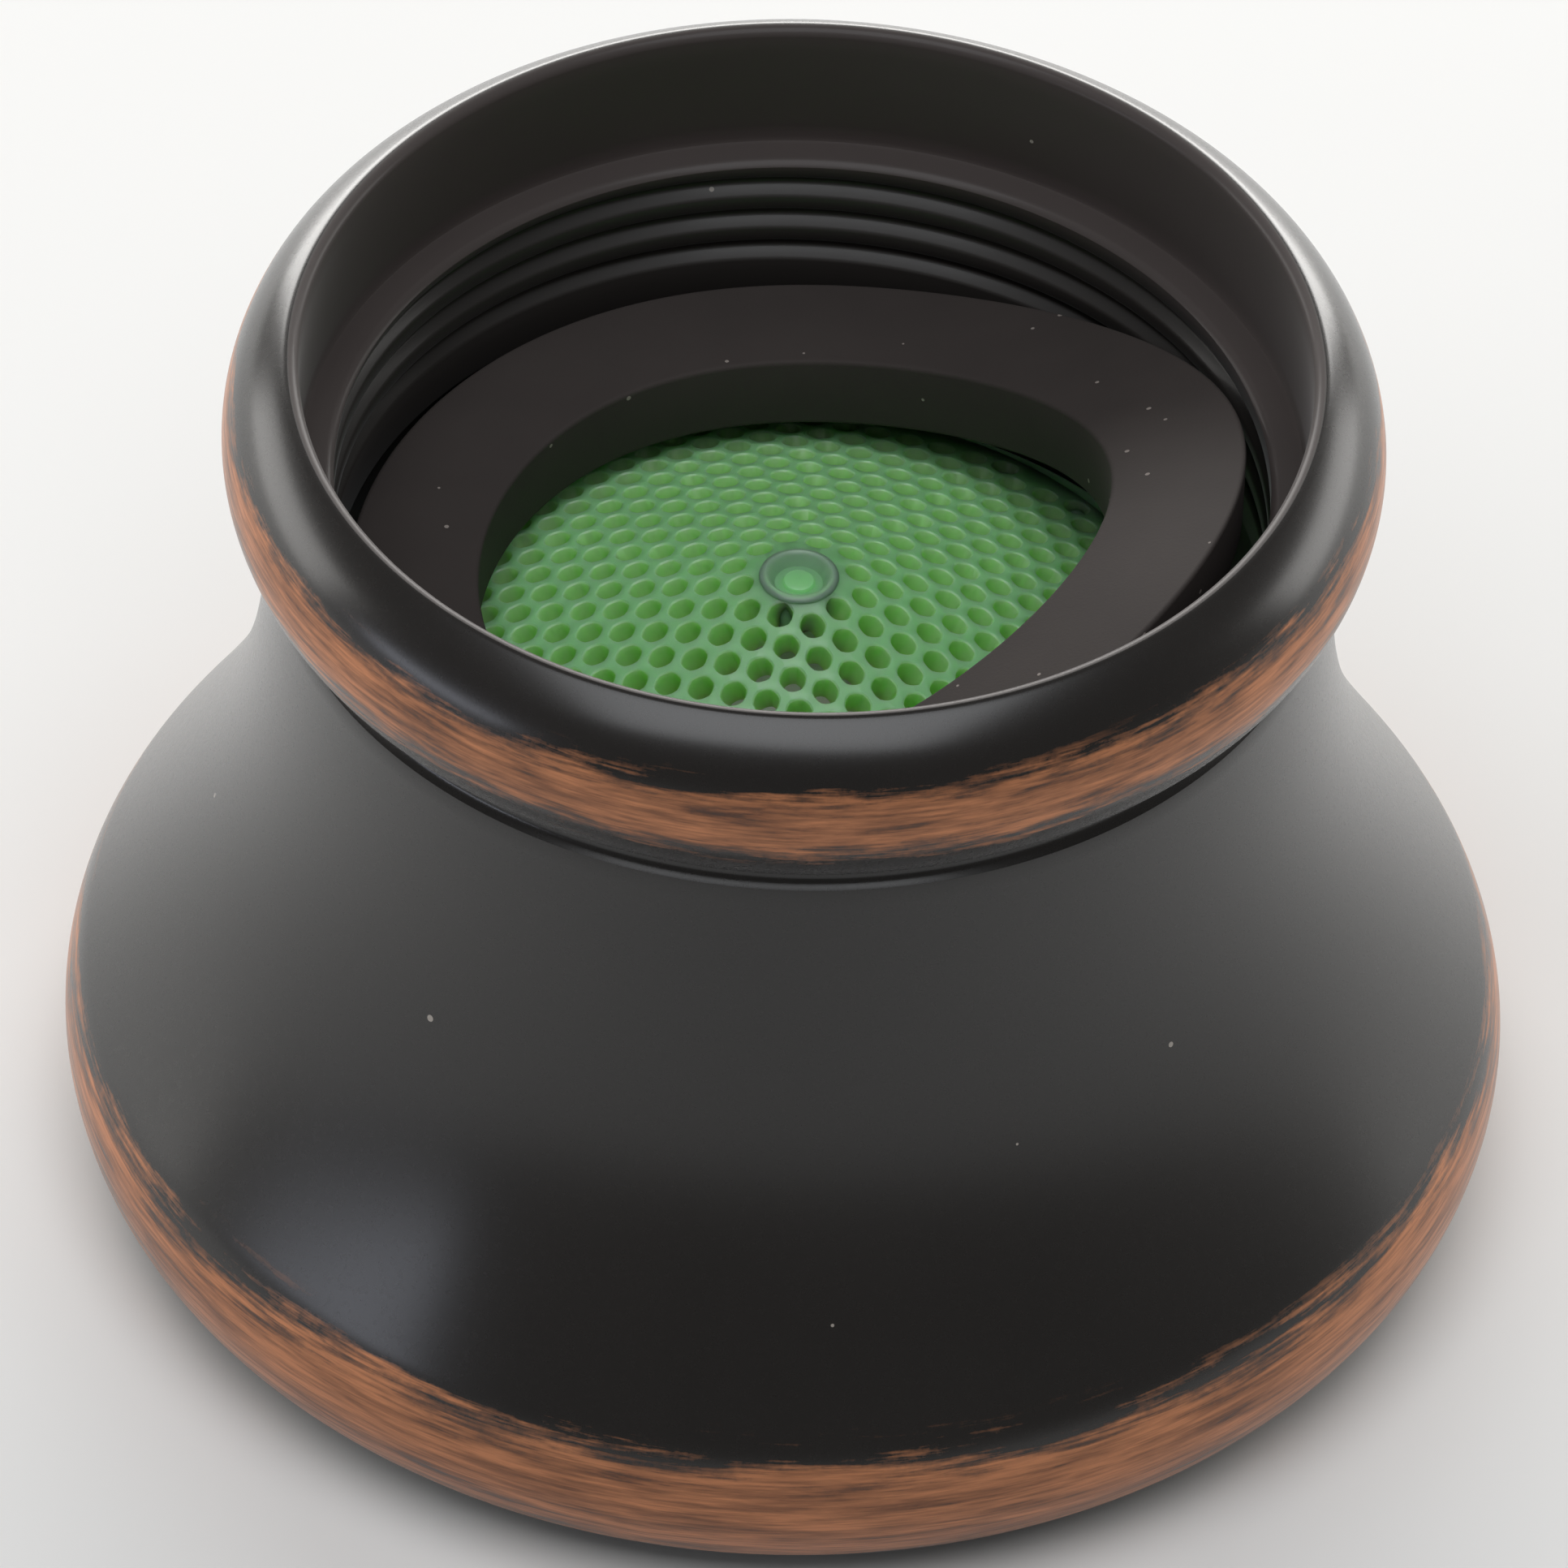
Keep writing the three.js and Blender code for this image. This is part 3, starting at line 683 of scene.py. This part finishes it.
def make_shell():
    """The cartridge's outer tube, with air windows through its wall."""
    profile, low_outer, low_inner = shell_profile()
    high_outer, high_inner = low_outer + 1, low_inner - 1
    angles = np.linspace(0, 2 * math.pi, SHELL_SIDES, endpoint=False)
    vertices = [(r * math.cos(a), r * math.sin(a), z) for a in angles for r, z in profile]

    def vertex(side, k):
        return (side % SHELL_SIDES) * len(profile) + k

    def strip(side, k, n):
        return [vertex(side, k), vertex(side + 1, k), vertex(side + 1, n), vertex(side, n)]

    spacing = SHELL_SIDES // AIR_WINDOWS
    faces = []
    for side in range(SHELL_SIDES):
        from_window = side % spacing
        in_window = from_window < AIR_WINDOW_SIDES
        for k in range(len(profile)):
            if not (in_window and k in (low_outer, high_inner)):
                faces.append(strip(side, k, (k + 1) % len(profile)))
        if in_window:
            faces.append(strip(side, low_outer, low_inner))
            faces.append(strip(side, high_inner, high_outer))
        if from_window in (0, AIR_WINDOW_SIDES):
            jamb = [vertex(side, k) for k in (low_outer, high_outer, high_inner, low_inner)]
            faces.append(jamb if from_window == 0 else jamb[::-1])
    return make_object("insert_tube", vertices, faces)


def ring_of_holes(count, radius, size):
    """Round holes evenly spaced on a circle."""
    angles = [2 * math.pi * i / count for i in range(count)]
    return [hole_outline((radius * math.cos(a), radius * math.sin(a)), size, DISC_HOLE_SIDES) for a in angles]


def disc_outline():
    return hole_outline((0, 0), DISC_RADIUS, DISC_SIDES)


def make_jet_plate():
    holes = [hole for count, radius in JET_ROWS for hole in ring_of_holes(count, radius, JET_RADIUS)]
    return flat_plate("jet_disc", disc_outline(), holes, JET_PLATE_Z)


def make_grille():
    centres = hexagonal_lattice(GRILLE_PITCH, 0.0, (0, 0), 0, DISC_RADIUS - GRILLE_MARGIN)
    holes = [hole_outline(c, GRILLE_CELL_RADIUS, 6, 0.0, math.pi / 6) for c in centres]
    return flat_plate("outlet_honeycomb", disc_outline(), holes, GRILLE_Z, 0.08)


def hub_outline():
    """The regulator's hub, fluted so that water passes inside the O-ring."""
    points = []
    for i in range(REGULATOR_HUB_SIDES):
        angle = 2 * math.pi * i / REGULATOR_HUB_SIDES
        radius = REGULATOR_HUB_RADIUS + REGULATOR_FLUTE_DEPTH * math.cos(REGULATOR_HUB_FLUTES * angle)
        points.append((radius * math.cos(angle), radius * math.sin(angle)))
    return points


def make_regulator():
    ports = ring_of_holes(REGULATOR_PORTS, O_RING_CENTRE_RADIUS, REGULATOR_PORT_RADIUS)
    plate = flat_plate("regulator_carrier", disc_outline(), ports, REGULATOR_PLATE_Z)
    floor = REGULATOR_PLATE_Z[1] - REGULATOR_OVERLAP
    hub = flat_plate("regulator_hub", hub_outline(), [], (floor, REGULATOR_HUB_TOP_Z), 0.12)
    inner, outer = REGULATOR_WALL_RADII
    top = REGULATOR_WALL_TOP_Z
    corners = [(inner, floor), (outer, floor), (outer, top), (inner, top)]
    wall = turned("regulator_wall", rounded_loop(corners))
    return joined("regulator_carrier", [plate, hub, wall])


def make_o_ring():
    profile = arc(O_RING_CENTRE_RADIUS, O_RING_CENTRE_Z, O_RING_TUBE_RADIUS, 0, 360, 28)[:-1]
    return turned("regulator_ring", profile)


def disc_rim(name, width, heights, corner):
    """A ring as wide as the discs."""
    inner = DISC_RADIUS - width
    bottom, top = heights
    corners = [(inner, bottom), (DISC_RADIUS, bottom), (DISC_RADIUS, top), (inner, top)]
    return turned(name, rounded_loop(corners, corner))


def make_spacer():
    return disc_rim("screen_spacer_ring", SPACER_WALL, SPACER_Z, 0.12)


def wire_centres(offset, reach, middle, swing):
    """Points of (along, height) on one wire of the mesh, which swings over and under those it crosses."""
    half = math.sqrt(reach * reach - offset * offset)
    steps = max(4, int(2 * half / (WIRE_PITCH / 4)))
    return [
        (along, middle + swing * math.cos(math.pi * along / WIRE_PITCH))
        for along in np.linspace(-half, half, steps + 1)
    ]


def wire_faces(start, steps):
    """Faces of one wire, whose vertices are rings of WIRE_SIDES from start on."""
    faces = []
    for step in range(steps):
        here = start + step * WIRE_SIDES
        there = here + WIRE_SIDES
        for k in range(WIRE_SIDES):
            n = (k + 1) % WIRE_SIDES
            faces.append([here + k, here + n, there + n, there + k])
    faces.append([start + k for k in reversed(range(WIRE_SIDES))])
    faces.append([start + steps * WIRE_SIDES + k for k in range(WIRE_SIDES)])
    return faces


def make_screen(name, heights, direction):
    """Plain-weave wire mesh with a pressed rim."""
    middle = sum(heights) / 2
    swing = (heights[1] - heights[0]) / 2 - WIRE_RADIUS
    reach = DISC_RADIUS - SCREEN_RIM_OVERLAP
    across = int(reach / WIRE_PITCH)
    ring = [math.tau * k / WIRE_SIDES for k in range(WIRE_SIDES)]
    vertices, faces = [], []
    for layer, side in ((0, 1), (1, -1)):
        turn = direction + layer * math.pi / 2
        cos, sin = math.cos(turn), math.sin(turn)
        for row in range(-across, across + 1):
            offset = row * WIRE_PITCH
            centres = wire_centres(offset, reach, middle, swing * (side if row % 2 else -side))
            faces += wire_faces(len(vertices), len(centres) - 1)
            for along, height in centres:
                for angle in ring:
                    u = offset + WIRE_RADIUS * math.cos(angle)
                    z = height + WIRE_RADIUS * math.sin(angle)
                    vertices.append((along * cos - u * sin, along * sin + u * cos, z))
    mesh = make_object(name, vertices, faces, 60)
    rim = disc_rim(name + "_rim", SCREEN_RIM_WIDTH, heights, 0.1)
    return joined(name, [mesh, rim])


# Materials.

def add_node(tree, kind, inputs=None, **settings):
    """A shader node with its settings and inputs; an input is a value or another node's output."""
    node = tree.nodes.new(kind)
    for name, value in settings.items():
        setattr(node, name, value)
    for name, value in (inputs or {}).items():
        if isinstance(value, bpy.types.NodeSocket):
            tree.links.new(value, node.inputs[name])
        else:
            node.inputs[name].default_value = value
    return node


def new_material(name, **sockets):
    """A material with a Principled shader and the values of its sockets that are the same all over."""
    material = bpy.data.materials.new(name)
    material.use_nodes = True
    shader = material.node_tree.nodes["Principled BSDF"]
    for socket, value in sockets.items():
        shader.inputs[socket.replace("_", " ")].default_value = value
    return material, material.node_tree, shader


def math_node(tree, operation, first, second):
    return add_node(tree, "ShaderNodeMath", {0: first, 1: second}, operation=operation).outputs[0]


def scaled(tree, value, factor, offset, clamp=False):
    """value times factor plus offset; clamp keeps it from 0 to 1."""
    inputs = {0: value, 1: factor, 2: offset}
    return add_node(tree, "ShaderNodeMath", inputs, operation="MULTIPLY_ADD", use_clamp=clamp).outputs[0]


def mix_colour(tree, factor, first, second):
    node = add_node(tree, "ShaderNodeMix", {0: factor, 6: first, 7: second}, data_type="RGBA")
    return node.outputs[2]


def mix_value(tree, factor, first, second):
    node = add_node(tree, "ShaderNodeMix", {0: factor, 2: first, 3: second})
    return node.outputs[0]


def noise(tree, vector, scale, detail, roughness=0.5):
    inputs = {"Vector": vector, "Scale": scale, "Detail": detail, "Roughness": roughness}
    return add_node(tree, "ShaderNodeTexNoise", inputs).outputs[0]


def stretched(tree, vector, scale):
    """A vector with each of its parts scaled on its own."""
    node = add_node(tree, "ShaderNodeVectorMath", {0: vector, 1: scale}, operation="MULTIPLY")
    return node.outputs[0]


def in_millimetres(tree):
    """The piece's own coordinates, in millimetres."""
    place = add_node(tree, "ShaderNodeTexCoord").outputs["Object"]
    return stretched(tree, place, (1 / MM, 1 / MM, 1 / MM))


def bump(tree, shader, height, strength, distance):
    """Fine relief; distance is in millimetres."""
    inputs = {"Height": height, "Strength": strength, "Distance": distance * MM}
    node = add_node(tree, "ShaderNodeBump", inputs)
    tree.links.new(node.outputs[0], shader.inputs["Normal"])


def dust(tree, place, scale, size, rarity):
    """Sparse specks: 1 on a speck and 0 elsewhere."""
    cells = add_node(tree, "ShaderNodeTexVoronoi", {"Vector": place, "Scale": scale})
    near = math_node(tree, "LESS_THAN", cells.outputs["Distance"], size)
    chosen = add_node(tree, "ShaderNodeSeparateColor", {0: cells.outputs["Color"]})
    rare = math_node(tree, "GREATER_THAN", chosen.outputs[0], rarity)
    return math_node(tree, "MULTIPLY", near, rare)


def read_attribute(tree, name, output="Fac"):
    """The value that each vertex of a piece was given."""
    return add_node(tree, "ShaderNodeAttribute", attribute_name=name).outputs[output]


def bronze_material():
    """Dark oil-rubbed bronze, brushed through to copper where the wear attribute says. The finish attribute
    makes the mouth's lining duller and lighter, and the thread and bore something between."""
    material, tree, shader = new_material(
        "oil_rubbed_bronze", Coat_Weight=0.2, Coat_Roughness=0.22, Sheen_Weight=0.12, Sheen_Roughness=0.32
    )
    around = read_attribute(tree, "around", "Vector")
    wear = read_attribute(tree, "wear")
    finish = read_attribute(tree, "finish")
    place = in_millimetres(tree)
    past_lip = scaled(tree, finish, 1 / LINING_FINISH, 0.0, True)
    past_lining = scaled(tree, finish, 1 / LINING_FINISH, -1.0, True)

    # The streaks and hairs are drawn out round the axis, the hairs finer.
    streaks = noise(tree, stretched(tree, around, (4.2, 4.2, 2.6)), 1.0, 6.0, 0.62)
    hairs = noise(tree, stretched(tree, around, (8.0, 8.0, 10.0)), 1.0, 4.0, 0.6)
    patches = noise(tree, stretched(tree, around, (2.6, 2.6, 0.8)), 1.0, 2.0)
    grain = noise(tree, place, 5.0, 4.0, 0.7)
    tint = noise(tree, place, 0.35, 2.0)

    # It is copper where the noise is below the wear.
    level = scaled(tree, wear, 1.15, -0.38)
    level = math_node(tree, "ADD", level, scaled(tree, patches, 0.7, -0.35))
    level = math_node(tree, "SUBTRACT", level, scaled(tree, streaks, 2.6, -1.2))
    level = math_node(tree, "SUBTRACT", level, scaled(tree, hairs, 1.1, -0.55))
    level = math_node(tree, "ADD", level, scaled(tree, grain, 0.5, -0.25))
    rubbed = scaled(tree, level, 1.7, 0.3, True)
    worn = math_node(tree, "MULTIPLY", rubbed, scaled(tree, wear, 4.0, 0.0, True))

    dark = mix_colour(tree, tint, (0.0086, 0.0072, 0.0064, 1), (0.0118, 0.01, 0.009, 1))
    lining = mix_colour(tree, tint, (0.038, 0.029, 0.0265, 1), (0.045, 0.0345, 0.032, 1))
    dark = mix_colour(tree, past_lip, dark, lining)
    dark = mix_colour(tree, past_lining, dark, (0.019, 0.0165, 0.015, 1))
    smudges = scaled(tree, streaks, 3.6, -1.5, True)
    copper = mix_colour(tree, smudges, (0.54, 0.225, 0.105, 1), (0.14, 0.06, 0.034, 1))
    scratches = scaled(tree, hairs, 2.4, -1.0, True)
    copper = mix_colour(tree, scratches, copper, (0.11, 0.05, 0.03, 1))
    colour = mix_colour(tree, worn, dark, copper)
    colour = mix_colour(tree, dust(tree, place, 0.55, 0.045, 0.7), colour, (0.3, 0.27, 0.24, 1))
    tree.links.new(colour, shader.inputs["Base Color"])

    metal = math_node(tree, "MULTIPLY", worn, 0.7)
    tree.links.new(metal, shader.inputs["Metallic"])

    roughness = mix_value(tree, worn, 0.27, 0.44)
    roughness = mix_value(tree, past_lip, roughness, 0.72)
    roughness = mix_value(tree, past_lining, roughness, 0.46)
    roughness = math_node(tree, "ADD", roughness, scaled(tree, grain, 0.05, -0.025))
    tree.links.new(roughness, shader.inputs["Roughness"])

    brushed = math_node(tree, "MULTIPLY", hairs, scaled(tree, worn, 1.0, 0.006))
    bump(tree, shader, brushed, 0.3, 0.03)
    return material


def rubber_material():
    material, tree, shader = new_material("washer_rubber", Roughness=0.82, Specular_IOR_Level=0.35)
    place = in_millimetres(tree)
    cloud = noise(tree, place, 0.5, 3.0)
    grain = noise(tree, place, 14.0, 2.0)
    colour = mix_colour(tree, cloud, (0.033, 0.027, 0.025, 1), (0.045, 0.037, 0.034, 1))
    specks = dust(tree, place, 1.3, 0.075, 0.35)
    colour = mix_colour(tree, specks, colour, (0.25, 0.22, 0.2, 1))
    tree.links.new(colour, shader.inputs["Base Color"])
    bump(tree, shader, grain, 0.25, 0.02)
    return material


def green_plastic_material():
    """Translucent green plastic. Its holes and underside are painted a lighter, yellower green: painted
    light, standing in for light coming through the wall and lifting the shade in the holes.
    """
    material, tree, shader = new_material(
        "green_plastic",
        Roughness=0.36,
        Subsurface_Weight=0.9,
        Subsurface_Radius=(0.7, 1.0, 0.5),
        Subsurface_Scale=1.8 * MM,
    )
    place = in_millimetres(tree)
    bore = read_attribute(tree, "bore")
    cloud = noise(tree, place, 0.6, 2.0)
    grain = noise(tree, place, 9.0, 2.0)
    face = mix_colour(tree, cloud, (0.235, 0.64, 0.24, 1), (0.27, 0.7, 0.275, 1))
    # Painted light: the holes and the underside are painted a lighter, yellower green, standing in for light
    # through the wall and against the shade in the holes.
    colour = mix_colour(tree, bore, face, (0.42, 0.86, 0.2, 1))
    tree.links.new(colour, shader.inputs["Base Color"])
    bump(tree, shader, grain, 0.12, 0.02)
    return material


def white_plastic_material():
    material, tree, shader = new_material("white_plastic", Subsurface_Weight=0.2, Subsurface_Scale=0.5 * MM)
    place = in_millimetres(tree)
    cloud = noise(tree, place, 0.4, 2.0)
    grain = noise(tree, place, 8.0, 2.0)
    colour = mix_colour(tree, cloud, (0.66, 0.66, 0.62, 1), (0.74, 0.74, 0.7, 1))
    tree.links.new(colour, shader.inputs["Base Color"])
    tree.links.new(mix_value(tree, grain, 0.36, 0.48), shader.inputs["Roughness"])
    bump(tree, shader, grain, 0.15, 0.02)
    return material


def black_rubber_material():
    material, tree, shader = new_material("black_rubber", Specular_IOR_Level=0.4)
    place = in_millimetres(tree)
    grain = noise(tree, place, 10.0, 2.0)
    colour = mix_colour(tree, grain, (0.012, 0.012, 0.012, 1), (0.02, 0.02, 0.02, 1))
    tree.links.new(colour, shader.inputs["Base Color"])
    tree.links.new(mix_value(tree, grain, 0.5, 0.65), shader.inputs["Roughness"])
    bump(tree, shader, grain, 0.2, 0.02)
    return material


def steel_material():
    material, tree, shader = new_material("stainless_steel", Metallic=1.0)
    place = in_millimetres(tree)
    draw = noise(tree, place, 3.0, 3.0)
    colour = mix_colour(tree, draw, (0.42, 0.42, 0.42, 1), (0.58, 0.58, 0.57, 1))
    tree.links.new(colour, shader.inputs["Base Color"])
    tree.links.new(mix_value(tree, draw, 0.22, 0.38), shader.inputs["Roughness"])
    bump(tree, shader, draw, 0.1, 0.01)
    return material


def dress(piece, material, slot, body, *nodes):
    """Gives a piece its material, the body it moves with and the CAD nodes it stands for."""
    piece.data.materials.clear()
    piece.data.materials.append(material)
    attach(piece, body)
    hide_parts(*nodes)


# Stage.

def make_camera():
    data = bpy.data.cameras.new("camera")
    data.lens = CAMERA_LENS
    data.sensor_width = CAMERA_SENSOR
    data.clip_start, data.clip_end = CAMERA_CLIP
    camera = bpy.data.objects.new("camera", data)
    bpy.context.scene.collection.objects.link(camera)
    back = Vector((0, -math.cos(CAMERA_ELEVATION), math.sin(CAMERA_ELEVATION)))
    camera.location = (Vector(CAMERA_TARGET) + back * CAMERA_DISTANCE) * MM
    level = (-back).to_track_quat("-Z", "Y")
    camera.rotation_mode = "QUATERNION"
    camera.rotation_quaternion = level @ Matrix.Rotation(CAMERA_ROLL, 3, "Z").to_quaternion()
    bpy.context.scene.camera = camera


def add_light(name, place, size, power, colour):
    """A rectangular soft light aimed at the middle of the object."""
    data = bpy.data.lights.new(name, "AREA")
    data.shape = "RECTANGLE"
    data.size = size[0] * MM
    data.size_y = size[1] * MM
    data.energy = power
    data.color = colour
    light = bpy.data.objects.new(name, data)
    bpy.context.scene.collection.objects.link(light)
    light.location = Vector(place) * MM
    aim = (Vector(LIGHT_TARGET) - Vector(place)).normalized()
    light.rotation_mode = "QUATERNION"
    light.rotation_quaternion = aim.to_track_quat("-Z", "Y")


def make_world():
    world = bpy.data.worlds.new("studio")
    world.use_nodes = True
    background = world.node_tree.nodes["Background"]
    background.inputs["Color"].default_value = WORLD_COLOUR
    background.inputs["Strength"].default_value = WORLD_STRENGTH
    bpy.context.scene.world = world
    bpy.context.scene.view_settings.view_transform = "Standard"


def make_floor():
    corners = [(-1, -1), (1, -1), (1, 1), (-1, 1)]
    vertices = [(FLOOR_HALF_SIZE * x, FLOOR_HALF_SIZE * y, 0) for x, y in corners]
    floor = make_object("floor", vertices, [(0, 1, 2, 3)])
    material, tree, shader = new_material("pale_floor", Roughness=0.7)
    cloud = noise(tree, in_millimetres(tree), 0.02, 2.0)
    colour = mix_colour(tree, cloud, (0.74, 0.74, 0.73, 1), (0.8, 0.8, 0.79, 1))
    tree.links.new(colour, shader.inputs["Base Color"])
    floor.data.materials.append(material)


def main():
    make_camera()
    make_world()
    make_floor()
    for light in LIGHTS:
        add_light(*light)
    dress(make_housing(), bronze_material(), "bronze", "housing", "housing")
    dress(make_washer(), rubber_material(), "washer_rubber", "washer", "sealing_washer")
    dress(make_strainer(), green_plastic_material(), "green_plastic", "strainer", "strainer_cone")
    white = white_plastic_material()
    dress(make_shell(), white, "white_plastic", "insert", "insert_shell")
    dress(make_regulator(), white, "white_plastic", "insert", "regulator_body")
    dress(make_jet_plate(), white, "white_plastic", "insert", "jet_plate")
    dress(make_spacer(), white, "white_plastic", "insert", "screen_spacer")
    dress(make_grille(), white, "white_plastic", "insert", "outlet_grille")
    dress(make_o_ring(), black_rubber_material(), "black_rubber", "insert", "regulator_o_ring")
    steel = steel_material()
    upper = make_screen("upper_mesh", UPPER_SCREEN_Z, UPPER_SCREEN_DIRECTION)
    dress(upper, steel, "stainless_mesh", "insert", "upper_screen")
    lower = make_screen("lower_mesh", LOWER_SCREEN_Z, LOWER_SCREEN_DIRECTION)
    dress(lower, steel, "stainless_mesh", "insert", "lower_screen")


main()
